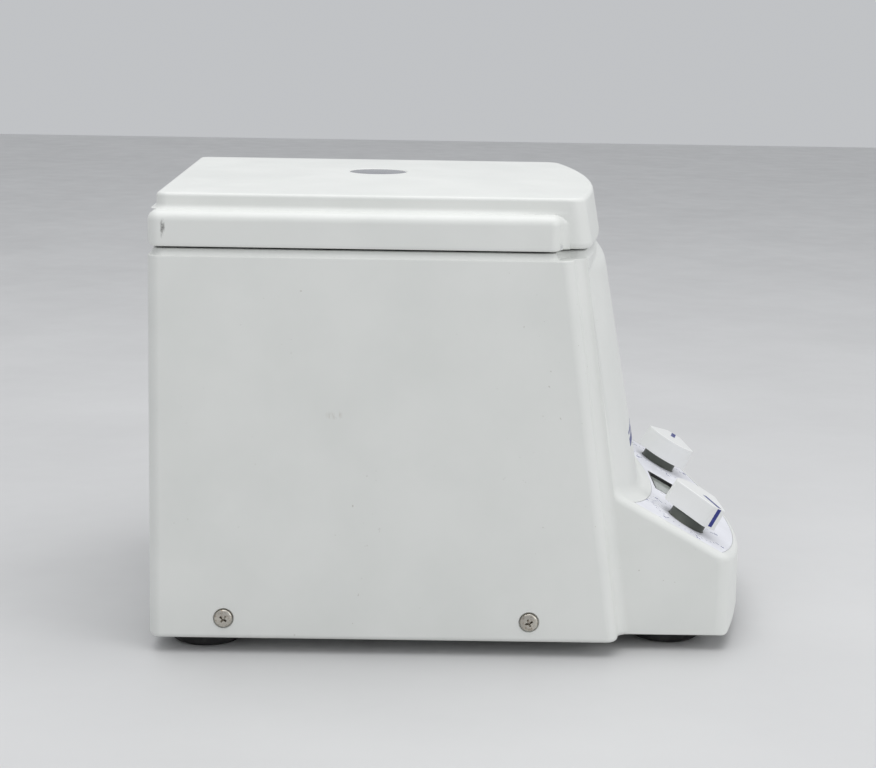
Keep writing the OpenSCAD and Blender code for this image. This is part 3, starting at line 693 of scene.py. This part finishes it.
def deck_cut(bm):
    """Round opening for the chamber, with a recess for its flange."""
    lathe(bm, [(0, DECK_Z - 10), (BOWL_R + 2.5, DECK_Z - 10), (BOWL_R + 2.5, DECK_Z - 1.2),
               (BOWL_R + 9.3, DECK_Z - 1.2), (BOWL_R + 9.3, DECK_Z + 0.2), (BOWL_R + 9.6, DECK_Z + 0.6),
               (0, DECK_Z + 0.6)], (0, SPIN_Y), 96)


def slot_cuts(bm):
    """Slots of the deck that the hinge leaves and the striker pass through."""
    for x in (-HINGE_X - 10.5, -HINGE_X + 5.5, HINGE_X - 10.5, HINGE_X + 5.5):
        block(bm, (x, HINGE_Y - 7.4, DECK_Z - 10), (x + 5, HINGE_Y + 1.4, DECK_Z + 10))
    block(bm, (-8, STRIKER_Y - 6, DECK_Z - 10), (8, STRIKER_Y + 5, DECK_Z + 10))


def rear_cut(bm):
    """Window that the rear panel stands in."""
    outline = [(x, z + 58) for x, z in rounded_rect(88, 42, 4)]
    prism(bm, outline, REAR_Y - 10, REAR_Y + 10, ON_REAR)


def screw_places():
    """Centre, outward side and radius of each side screw's head, from the frame."""
    low, high = box_mm("side_screws")
    radius = 4.5
    ys = (high.y - radius, low.y + radius)
    return [(side, y, (low.z + high.z) / 2) for side in (-1, 1) for y in ys]


def screw_cuts(bm):
    """Counterbores of the side screws, each with a softened rim."""
    for side, y, z in screw_places():
        turn = Matrix.Translation((side * HALF_W, y, z)) @ Matrix.Rotation(side * math.pi / 2, 4, "Y")
        profile = [(0, -8), (2.1, -8), (2.1, -1.2), (4.95, -1.2),
                   (4.95, -0.25), (5.25, 0.05), (5.25, 1), (0, 1)]
        lathe(bm, profile, (0, 0), 40, turn)


def panel_cuts(bm):
    """Shallow recess that the membrane lies in."""
    prism(bm, membrane_points(), -0.6, 5, panel_matrix())


def control_cuts(bm):
    """Holes through the panel for the knob shafts, the keys and the display."""
    for side in (-1, 1):
        prism(bm, circle(4.6, 32), -6, 3, at_knob(side))
    for i in (-1, 0, 1):
        prism(bm, rounded_rect(7.4, 4.4, 1.2), -6, 3, at_key(i))
    prism(bm, rounded_rect(17, 6, 0.5), -6, 3, at_display())


def display_cut(bm):
    prism(bm, rounded_rect(19, 8, 0.8), -2.2, 3, at_display())


def housing():
    shell = wide_body(0, BOTTOM_Z, DECK_Z, edge=2.5, name="housing_shell")
    add(shell, front_section(0, DECK_Z, BOTTOM_Z))
    inner = wide_body(WALL, BOTTOM_Z - 3, DECK_Z - WALL - 1)
    add(inner, front_section(WALL, DECK_Z - WALL - 1, BOTTOM_Z - 3))
    cut(shell, inner)
    add(shell, deck_rim())
    for build in (deck_cut, slot_cuts, rear_cut, screw_cuts, panel_cuts, control_cuts, display_cut):
        cut(shell, cutter(build))
    return finish_piece(shell, "body", CASING, "housing", slot="casing_plastic", angle=28)


# ---- Lid ----

def brim_ring(z, t):
    """Plan of the brim at height z, inset by t; its lower rear edge is rounded off for the swing."""
    start = BRIM_FRONT_Y
    relief = 0.0
    lift = z - LID_LOW.z
    if lift < 4:
        relief = 3.2 - math.sqrt(max(16 - (4 - lift) ** 2, 0.0)) * 0.8
    corner = max(REAR_R - t, 0.5)
    rear_limit = REAR_Y - t - max(relief, 0)
    rear = [(x, min(y, rear_limit)) for x, y in
            arc(HALF_W - t - corner, REAR_Y - t - corner, corner, 0, 90, 8)]
    curve = step_curve(t, start, BRIM_STEP_R, CAP_HALF)
    half = [(20.0, start + 0.2), (CAP_HALF - 0.03 - t, start + 0.2)] + curve + rear
    return [Vector((x, y, z)) for x, y in mirrored(half)]


def brim_body():
    z0, r = LID_LOW.z, 4.8
    levels = [(z0, 1.1), (z0 + 0.15, 0.6), (z0 + 0.5, 0.2), (z0 + 1.1, 0)]
    levels += [(z0 + 2, 0), (z0 + 3, 0), (z0 + 4, 0)]
    levels += [(BRIM_TOP_Z - r * (1 - math.sin(a)), r * (1 - math.cos(a)))
               for a in [math.pi / 2 * i / 9 for i in range(10)]]
    return lofted("lid_shell_piece", [brim_ring(z, t) for z, t in levels])


def cap_ring(z, t, flare=0.0):
    """Plan of the cap at height z, inset by t; its foot flares out where it stands on the brim."""
    front = NOSE_Y + (z - NOSE_Z) * math.tan(FRONT_LEAN)
    r = max(REAR_R - t, 0.5)
    rear = arc(CAP_HALF - t - r, CAP_REAR_Y - t - r, r, 0, 90, 8)
    bow = bow_half(CAP_HALF, NOSE_BOW_R, NOSE_R, t, front)
    side = [(CAP_HALF - t, bow[-1][1] + (rear[0][1] - bow[-1][1]) * k) for k in (0.04, 0.15, 0.5)]
    outline = mirrored(bow + side + rear)
    ring = []
    for (x, y), (wide_x, wide_y) in zip(outline, inset(outline, -flare) if flare else outline):
        share = min(max((y - BRIM_FRONT_Y - 9) / 8, 0), 1)
        share = share * share * (3 - 2 * share)
        ring.append(Vector((x + (wide_x - x) * share, y + (wide_y - y) * share, z)))
    return ring


def dome(point, base, crown):
    """Lifts a point of the cap's top onto a shallow dome over the whole cap."""
    front = NOSE_Y + 5.0
    middle, reach = (front + CAP_REAR_Y) / 2, (CAP_REAR_Y - front) / 2
    across = max(1 - (point.x / (CAP_HALF - 2)) ** 2, 0)
    along = max(1 - ((point.y - middle) / reach) ** 2, 0)
    return Vector((point.x, point.y, base + crown * across * along))


def cap_body():
    """Cap and nose: eased foot, fillet onto the brim, rounded upper edge and a shallow dome."""
    z0, top, r, crown = LID_LOW.z + 0.04, LID_HIGH.z, 2.0, 2.4
    side_top = top - crown
    foot_r = 2.6
    levels = [(z0, 2.6, 0), (z0 + 0.35, 1.5, 0), (z0 + 1.0, 0.7, 0), (z0 + 2.0, 0.2, 0), (z0 + 3.2, 0, 0)]
    levels += [(BRIM_TOP_Z - 0.9, 0, 0)]
    levels += [(BRIM_TOP_Z - 0.1 + foot_r * (1 - math.cos(a)), 0, foot_r * (1 - math.sin(a)))
               for a in [math.pi / 2 * i / 5 for i in range(6)]]
    levels += [(side_top - r * (1 - math.sin(a)), r * (1 - math.cos(a)), 0)
               for a in [math.pi / 2 * i / 7 for i in range(8)]]
    rings = [cap_ring(z, t, flare) for z, t, flare in levels]
    for share in (0.06, 0.14, 0.26, 0.42, 0.62, 0.85, 0.98):
        rings.append([dome(p, side_top, crown) for p in cap_ring(side_top, r + (92 - r) * share)])
    return lofted("cap", rings)


def lid_cavity():
    """Hollow under the brim and the cap."""
    inside = lofted("inside", [brim_ring_plain(z) for z in (LID_LOW.z - 2, BRIM_TOP_Z - WALL)])
    add(inside, lofted("inside_cap", [cap_ring(z, WALL) for z in (LID_LOW.z - 2.1, LID_HIGH.z - WALL - 1)]))
    return inside


def brim_ring_plain(z):
    """Plan of the hollow under the brim."""
    front = BRIM_FRONT_Y + 1
    half = [(20.0, front), (CAP_HALF - WALL - 0.03, front)]
    half += step_curve(WALL, BRIM_FRONT_Y, BRIM_STEP_R, CAP_HALF)
    half += arc(HALF_W - REAR_R, REAR_Y - REAR_R, REAR_R - WALL, 0, 90, 8)
    return [Vector((x, y, z)) for x, y in mirrored(half)]


def hinge_notches(bm):
    for x in (-HINGE_X, HINGE_X):
        outline = [(px + x, pz + LID_LOW.z) for px, pz in rounded_rect(11, 10, 2)]
        prism(bm, outline, REAR_Y - 10, REAR_Y + 10, ON_REAR)


def window_cut(bm):
    """Stepped seat of the window, with the sight hole through it."""
    top = LID_HIGH.z
    lathe(bm, [(0, 190), (WINDOW_R - 2, 190), (WINDOW_R - 2, top - 1.8), (WINDOW_R, top - 1.8),
               (WINDOW_R, top - 0.55), (WINDOW_R + 0.7, top + 0.1), (WINDOW_R + 0.7, top + 3), (0, top + 3)],
          (0, SPIN_Y), 80)


def lid_shell():
    shell = brim_body()
    add(shell, cap_body())
    cut(shell, lid_cavity())
    cut(shell, cutter(hinge_notches))
    cut(shell, cutter(window_cut))
    return finish_piece(shell, "lid", CASING, "lid_shell", slot="casing_plastic", angle=28)


# ---- Controls ----

def knob_points():
    """Outline of a knob's cap: round behind, flat sides, and a nose down the slope."""
    back_r, flat, nose, tip = 15.5, 14.5, KNOB_NOSE, 3.4
    a = math.degrees(math.acos(flat / back_r))
    return (arc(0, 0, back_r, a, 180 - a, 24) + arc(-tip, -nose + 1.6, 1.6, 205, 270, 5)
            + arc(tip, -nose + 1.6, 1.6, -90, -25, 5))


def knob_cap(name, side, turn, body, node):
    place = at_knob(side, turn)
    lift, top = KNOB_LIFT, KNOB_TOP
    bm = bmesh.new()
    rounded_slab(bm, knob_points(), lift, top, 0.55, 0.25, 0.25, place, 5)
    cap = make_object(name, bm, weighted=False)
    cut(cap, cutter(lambda b: prism(b, circle(SHAFT_HOLE_R, 40), lift - 1, lift + 6, place)))
    return finish_piece(cap, body, KNOB_WHITE, node, slot="knob_plastic", angle=35)


def pointer(name, side, turn, body, node):
    """Inlaid line along the top of the cap and down its nose."""
    place = at_knob(side, turn)
    proud, thick, half = 0.06, 0.3, 1.25
    nose, top = KNOB_NOSE, KNOB_TOP
    line = [(-1.6, top + proud)]
    line += [(-nose + 0.25 + 0.8 - (0.8 + proud) * math.sin(a), top - 0.8 + (0.8 + proud) * math.cos(a))
             for a in [math.pi / 2 * i / 6 for i in range(7)]]
    line += [(-nose + 0.02 - proud, 6.2)]
    inner = [(y + thick * 1.2, z - thick) for y, z in line]
    bm = bmesh.new()
    rings = [[place @ Vector((x, y, z)) for y, z in line + list(reversed(inner))] for x in (-half, half)]
    loft(bm, rings)
    obj = make_object(name, bm, weighted=False)
    return finish_piece(obj, body, BLUE_INK, node, slot="blue_ink")


def collars():
    """Dark rings that the knobs stand over."""
    bm = bmesh.new()
    for side in (-1, 1):
        place = at_knob(side)
        profile = [(3.05, -0.6), (10, -0.6), (10, 0), (9.75, 0.35), (9.6, 3.7), (9.45, 4.3), (8.9, 4.7),
                   (8.2, 4.7), (7.9, 4.3), (4.4, 4.3), (4.1, 4.7), (3.05, 4.7)]
        lathe(bm, profile, (0, 0), 72, place)
    obj = make_object("knob_collar_rings", bm)
    return finish_piece(obj, "body", COLLAR_GREY, "knob_collars", slot="collar_plastic")


def membrane():
    """Printed film, cut out for the collars, the keys and the display."""
    bm = bmesh.new()
    place = panel_matrix()
    prism(bm, membrane_points(0.35), -0.59, -0.1, place)
    sheet = make_object("membrane_film", bm, weighted=False)

    def holes(b):
        for side in (-1, 1):
            prism(b, circle(10.3, 64), -3, 3, at_knob(side))
        for i in (-1, 0, 1):
            prism(b, rounded_rect(7.4, 4.4, 1.2), -3, 3, at_key(i))
        prism(b, rounded_rect(19.15, 8.15, 0.9), -3, 3, at_display())

    cut(sheet, cutter(holes))
    return finish_piece(sheet, "body", MEMBRANE, "panel_membrane", slot="membrane")


# Lower and upper face of the printed marks, from the panel's own surface
DIAL_Z = (-0.1, -0.05)


def dial_marks():
    """Printed ticks round both knobs, every fifth one longer."""
    bm = bmesh.new()
    for side in (-1, 1):
        for i in range(31):
            angle = math.radians(240 - 10 * i)
            long_tick = i % 5 == 0
            r0, r1 = 18.6, 20.8 if long_tick else 19.8
            half = 0.26 if long_tick else 0.16
            place = at_knob(side, angle)
            block(bm, (r0, -half, DIAL_Z[0]), (r1, half, DIAL_Z[1]), place)
    marks = make_object("dial_marks", bm, weighted=False)
    finish_piece(marks, "body", GREY_INK, slot="blue_ink")


def printed_text(name, words, size, places, material, depth=0.05):
    """Flat generic figures, turned from the built-in font into thin meshes."""
    bm = bmesh.new()
    for word, place in zip(words, places):
        curve = bpy.data.curves.new("figure", "FONT")
        curve.body = word
        curve.size = size
        curve.align_x = "CENTER"
        curve.align_y = "CENTER"
        curve.extrude = depth / 2
        obj = bpy.data.objects.new("figure", curve)
        bpy.context.scene.collection.objects.link(obj)
        graph = bpy.context.evaluated_depsgraph_get()
        mesh = bpy.data.meshes.new_from_object(obj.evaluated_get(graph))
        mesh.transform(place)
        bm.from_mesh(mesh)
        bpy.data.objects.remove(obj)
        bpy.data.meshes.remove(mesh)
    bmesh.ops.remove_doubles(bm, verts=bm.verts, dist=1e-4)
    made = make_object(name, bm, weighted=False)
    return finish_piece(made, "body", material, slot="blue_ink")


def dial_numbers():
    """Plain numbers round both dials, outside the ticks."""
    ring_r = 23.0
    words, places = [], []
    for side, figures in ((-1, "0 2 4 6 8 10 12"), (1, "0 5 10 15 20 25 30")):
        for i, figure in enumerate(figures.split()):
            a = math.radians(240 - 50 * i)
            u, v = side * KNOB_X + ring_r * math.cos(a), -KNOB_V + ring_r * math.sin(a)
            words.append(figure)
            places.append(panel_matrix(u, v) @ Matrix.Translation((0, 0, -0.07)))
    printed_text("dial_numbers", words, 3.0, places, BLUE_INK)


def display():
    """Sunk display glass and the thin dark frame round it."""
    low_z = -2.2
    bm = bmesh.new()
    place = at_display()
    rounded_slab(bm, rounded_rect(18.0, 7.0, 0.4), low_z + 0.02, low_z + 0.5, 0.1, 0, 0, place, 2)
    lens = make_object("display_glass", bm, weighted=False)
    finish_piece(lens, "body", LCD, "display_lens", slot="clear_window")
    bm = bmesh.new()
    ring_outer, ring_inner = rounded_rect(18.97, 7.97, 0.78), rounded_rect(18.2, 7.2, 0.5)
    levels = [(ring_outer, low_z + 0.03), (ring_outer, -0.16), (inset(ring_outer, 0.1), -0.06),
              (inset(ring_inner, -0.1), -0.06), (ring_inner, -0.2), (ring_inner, low_z + 0.03)]
    band(bm, [[place @ Vector((x, y, z)) for x, y in ring] for ring, z in levels])
    bezel = make_object("display_frame", bm, weighted=False)
    finish_piece(bezel, "body", BLACK, "display_bezel", slot="black_plastic")


def keys():
    """Small key caps, each with a flange that holds it under the panel."""
    for i, name, node, body in (
            (-1, "short_spin_cap", "key_short_spin", "short_spin_key"),
            (0, "start_stop_cap", "key_start_stop", "start_stop_key"),
            (1, "lid_open_cap", "key_lid_open", "lid_open_key")):
        place = at_key(i)
        bm = bmesh.new()
        outline = rounded_rect(7, 4, 1.0)
        flange = rounded_rect(8, 5, 1.0)
        rings = [(flange, -4.6), (flange, -3.4), (outline, -3.4), (outline, 0.1),
                 (inset(outline, 0.15), 0.45), (inset(outline, 0.5), 0.66), (inset(outline, 1.2), 0.7)]
        loft(bm, [[place @ Vector((x, y, z)) for x, y in ring] for ring, z in rings])
        cap = make_object(name, bm, weighted=False)
        finish_piece(cap, body, KEY_BLUE, node, slot="key_plastic")


def front_stripe():
    """Plain double stripe that follows the bow of the leaning front."""
    lean = Matrix.Translation((0, LEAN_Y, LEAN_Z)) @ Matrix.Rotation(-FRONT_LEAN, 4, "X")
    bm = bmesh.new()
    for base, height in ((26.0, 4.0), (32.0, 1.5)):
        outer = arc(0, FRONT_BOW_R, FRONT_BOW_R + 0.12, -100, -80, 40)
        inner = arc(0, FRONT_BOW_R, FRONT_BOW_R - 0.3, -80, -100, 40)
        prism(bm, outer + inner, base, base + height, lean)
    stripe = make_object("front_stripe", bm, weighted=False)
    finish_piece(stripe, "body", BLUE_INK, "front_mark", slot="blue_ink")


# ---- Small parts ----

def pan_head(bm, place, r=4.5, height=1.55, base=-1.2):
    """Domed screw head standing in its counterbore."""
    profile = [(0, base), (r, base), (r, base + 1.15), (r - 0.12, base + 1.5)]
    profile += [(r * math.cos(a) * 0.97, base + 1.55 + (height - 0.35) * math.sin(a))
                for a in [math.pi / 2 * i / 8 for i in range(9)]]
    profile[-1] = (0, profile[-1][1])
    lathe(bm, profile, (0, 0), 48, place)


def slot_tool(places, turn):
    """Tapered slot across every screw head; two at right angles make the cross."""
    def build(bm):
        for place in places:
            here = place @ Matrix.Rotation(turn, 4, "Z")
            rings = []
            for z, a, w in ((-0.6, 0.8, 0.34), (1.2, 1.95, 0.5), (2.6, 2.0, 0.55)):
                corners = ((-a, -w, z), (a, -w, z), (a, w, z), (-a, w, z))
                rings.append([here @ Vector(p) for p in corners])
            loft(bm, rings)
    return build


def side_screws():
    bm = bmesh.new()
    places = []
    for side, y, z in screw_places():
        place = Matrix.Translation((side * HALF_W, y, z)) @ Matrix.Rotation(side * math.pi / 2, 4, "Y")
        place = place @ Matrix.Rotation(math.radians(22 + 31 * (y > 0)), 4, "Z")
        places.append(place)
        pan_head(bm, place)
    heads = make_object("side_screw_heads", bm, weighted=False)
    for turn in (0, math.pi / 2):
        cut(heads, cutter(slot_tool(places, turn)))
    return finish_piece(heads, "body", SCREW_STEEL, "side_screws", slot="steel", angle=40)


def feet():
    """Four turned rubber feet, each with the recess of its screw."""
    low, high = box_mm("rubber_feet")
    places = []
    for side in (-1, 1):
        places += [(side * 77.0, 124.0), (side * 63.0, -107.0)]
    bm = bmesh.new()
    for x, y in places:
        profile = [(6.5, 0), (15.5, 0), (16.8, 0.25), (17.7, 0.9), (18.3, 1.8), (19.2, 4.5), (19.8, 6.6),
                   (20, high.z - 0.5), (19.6, high.z), (2.2, high.z), (2.2, 4), (6.5, 4)]
        lathe(bm, profile, (x, y), 72)
    obj = make_object("rubber_feet_piece", bm)
    return finish_piece(obj, "body", RUBBER, "rubber_feet", slot="dark_rubber")


def window():
    """Lens in the lid's top, and the disc that closes the sight hole below."""
    top = LID_HIGH.z
    bm = bmesh.new()
    low, r = LID_LOW.z, WINDOW_R - 2.1
    lathe(bm, [(0, low - 1), (r, low - 1), (r, low + 1), (0, low + 1)], (0, SPIN_Y), 64)
    r = WINDOW_R - 0.08
    profile = [(0, top - 1.79), (r, top - 1.79), (r, top - 0.6), (r - 0.42, top - 0.3),
               (WINDOW_R * 0.5, top - 0.14), (0, top - 0.1)]
    lathe(bm, profile, (0, SPIN_Y), 64)
    obj = make_object("window_glass", bm)
    return finish_piece(obj, "lid", SMOKED, "window_lens", slot="clear_window")


PAINTS = {
    "casing_plastic": CASING, "knob_plastic": KNOB_WHITE, "liner_plastic": LINER_GREY,
    "coated_steel": SHEET_COAT, "dark_rubber": RUBBER, "steel": STEEL, "stainless": STAINLESS,
    "rotor_aluminium": ALUMINIUM, "clear_window": SMOKED, "black_plastic": BLACK, "membrane": MEMBRANE,
    "key_plastic": KEY_BLUE, "collar_plastic": COLLAR_GREY, "blue_ink": BLUE_INK,
    "board_laminate": BOARD, "dark_iron": IRON, "copper_tape": TAPE, "label_foil": FOIL,
}


def paint_frame():
    """Gives every CAD node that still shows its material and a softened edge."""
    slots = {row["node"]: row["material_slot"] for row in frame["record"]["subparts"]}
    for name, obj in frame["nodes"].items():
        if obj.hide_render:
            continue
        obj.data.materials.clear()
        obj.data.materials.append(PAINTS[slots[name]])
        bevel = obj.modifiers.new("soft_edges", "BEVEL")
        bevel.width = 0.25 * MM
        bevel.segments = 2
        bevel.limit_method = "ANGLE"
        bevel.angle_limit = math.radians(40)
        bevel.use_clamp_overlap = True


# ---- Stage, light and camera ----

def stage():
    bm = bmesh.new()
    bmesh.ops.create_grid(bm, x_segments=1, y_segments=1, size=3000)
    floor = make_object("floor", bm, weighted=False)
    paint = Paint("pale_floor", roughness=0.42)
    clouds = paint.spread(paint.noise(160, 4), 0.35, 0.7, 0, 1)
    paint.colour(paint.mix(clouds, (0.68, 0.68, 0.68), (0.64, 0.64, 0.64)))
    paint.rough(paint.spread(paint.noise(40, 5), 0.3, 0.7, 0.34, 0.5))
    paint.bump(paint.noise(3, 3), 0.05, 0.05)
    floor.data.materials.append(paint.material)


def area_light(name, place, target, size, power, colour=(1, 1, 1)):
    light = bpy.data.lights.new(name, "AREA")
    light.shape = "RECTANGLE"
    light.size, light.size_y = size
    light.energy = power
    light.color = colour
    obj = bpy.data.objects.new(name, light)
    bpy.context.scene.collection.objects.link(obj)
    obj.location = place
    obj.rotation_mode = "QUATERNION"
    obj.rotation_quaternion = (Vector(target) - Vector(place)).to_track_quat("-Z", "Y")


def light():
    """Even pale surroundings, a broad lamp overhead and a softer one in front."""
    world = bpy.data.worlds.new("studio")
    world.use_nodes = True
    background = world.node_tree.nodes["Background"]
    background.inputs["Color"].default_value = (0.95, 0.97, 1.0, 1)
    background.inputs["Strength"].default_value = 0.56
    bpy.context.scene.world = world
    area_light("overhead", (-0.15, 0.0, 1.5), (0, 0, 0.1), (1.6, 1.6), 14)
    area_light("front_fill", (-1.1, -1.8, 0.9), (0, 0, 0.12), (1.2, 1.0), 9)
    bpy.context.scene.view_settings.view_transform = "Standard"


def camera():
    """Side view from a little above the lid, looking slightly down."""
    data = bpy.data.cameras.new("camera")
    data.sensor_width = 36.0
    data.lens = 79.9
    data.shift_y = -0.12
    obj = bpy.data.objects.new("camera", data)
    bpy.context.scene.collection.objects.link(obj)
    obj.location = (-1.017, 0.0189, 0.3266)
    pitch, yaw, roll = math.radians(8.71), math.radians(-0.46), math.radians(0.94)
    look = Vector((math.cos(pitch) * math.cos(yaw), math.cos(pitch) * math.sin(yaw), -math.sin(pitch)))
    obj.rotation_mode = "QUATERNION"
    obj.rotation_quaternion = look.to_track_quat("-Z", "Y") @ Matrix.Rotation(roll, 4, "Z").to_quaternion()
    bpy.context.scene.camera = obj


camera()
housing()
lid_shell()
knob_turns = {"left": math.radians(-60), "right": math.radians(78)}
knob_cap("left_knob_cap", -1, knob_turns["left"], "left_knob", "knob_left")
knob_cap("right_knob_cap", 1, knob_turns["right"], "right_knob", "knob_right")
pointer("left_pointer_line", -1, knob_turns["left"], "left_knob", "pointer_left")
pointer("right_pointer_line", 1, knob_turns["right"], "right_knob", "pointer_right")
collars()
membrane()
dial_marks()
dial_numbers()
display()
keys()
front_stripe()
side_screws()
feet()
window()
paint_frame()
stage()
light()
